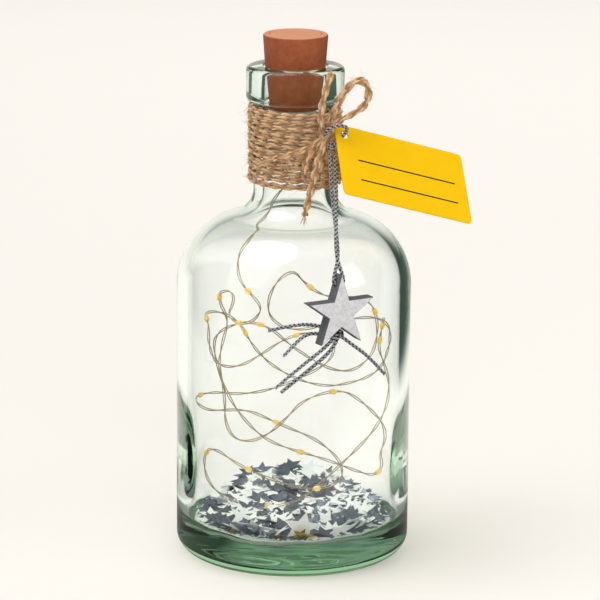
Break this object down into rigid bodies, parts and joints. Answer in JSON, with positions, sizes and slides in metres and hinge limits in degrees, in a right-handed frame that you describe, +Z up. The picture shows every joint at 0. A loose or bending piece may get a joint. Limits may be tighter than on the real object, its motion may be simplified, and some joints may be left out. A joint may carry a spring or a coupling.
{
  "type": "corked bottle light",
  "caption": "Clear glass bottle with a twist-switch stopper, a light string and foil stars inside, a twine bow with a card tag and a hanging star on its neck.",
  "frame": {"origin": "centre of the bottle's flat foot", "axes": "+Z up along the bottle's axis, -Y towards the viewer (the star's side), +X to the right"},
  "size_m": [0.0971, 0.0877, 0.1756],
  "materials": {
    "glass": "clear, faint green in the thick base",
    "stopper": "matte moulded terracotta",
    "tube": "moulded",
    "seal": "satin",
    "contact": "bright stamped",
    "spring": "drawn wire",
    "cell": "polished",
    "board": "solder mask",
    "resistor": "matte",
    "wire": "enamelled thin pair",
    "drops": "amber resin",
    "twine": "hairy jute",
    "cord": "silver and dark braid",
    "card": "matte card",
    "star": "silver glitter face, grey sides",
    "foil": "mirror foil",
    "gold_foil": "mirror foil"
  },
  "bodies": {
    "bottle": {"bottle": "glass", "confetti_small": "foil", "confetti_large": "foil", "confetti_gold": "gold_foil", "light_wire": "wire", "light_drops": "drops", "twine_winding": "twine", "bow_knot": "twine", "bow_loop": "twine", "hanging_loop": "twine", "tail_up": "twine", "tail_down": "twine", "tie_loop": "cord"},
    "stopper": {"stopper_sleeve": "stopper", "battery_tube": "tube", "wire_gland": "tube", "cell_bottom": "cell", "cell_middle": "cell", "cell_top": "cell", "contact_spring": "spring", "contact_strip": "contact", "driver_board": "board", "resistor": "resistor", "lead_wire": "wire"},
    "switch_cap": {"switch_cap": "stopper", "cap_contact": "contact", "cap_seal": "seal"},
    "tag": {"tag": "card"},
    "hitch": {"cord_hitch": "cord"},
    "pendant": {"pendant_cord": "cord", "star": "star", "star_knot": "cord", "star_tails": "cord"}
  },
  "joints": [
    {"name": "stopper_pull", "type": "slide", "parent": "bottle", "child": "stopper", "axis": [0, 0, 1], "range_m": [0, 0.045], "deforming": ["lead_wire"]},
    {"name": "switch_turn", "type": "hinge", "parent": "stopper", "child": "switch_cap", "pos_m": [0, 0, 0.17], "axis": [0, 0, 1], "range_deg": [0, 60]},
    {"name": "tag_swing", "type": "hinge", "parent": "bottle", "child": "tag", "pos_m": [0.0159, -0.0164, 0.145], "axis": [0.4833, -0.548, 0.6828], "range_deg": [-30, 15]},
    {"name": "pendant_lift", "type": "hinge", "parent": "bottle", "child": "hitch", "pos_m": [0.012, -0.0176, 0.1414], "axis": [-0.9426, -0.3338, 0], "range_deg": [0, 18]},
    {"name": "pendant_sway", "type": "hinge", "parent": "hitch", "child": "pendant", "pos_m": [0.012, -0.0176, 0.1414], "axis": [0.3338, -0.9426, 0], "range_deg": [-8, 8]}
  ]
}
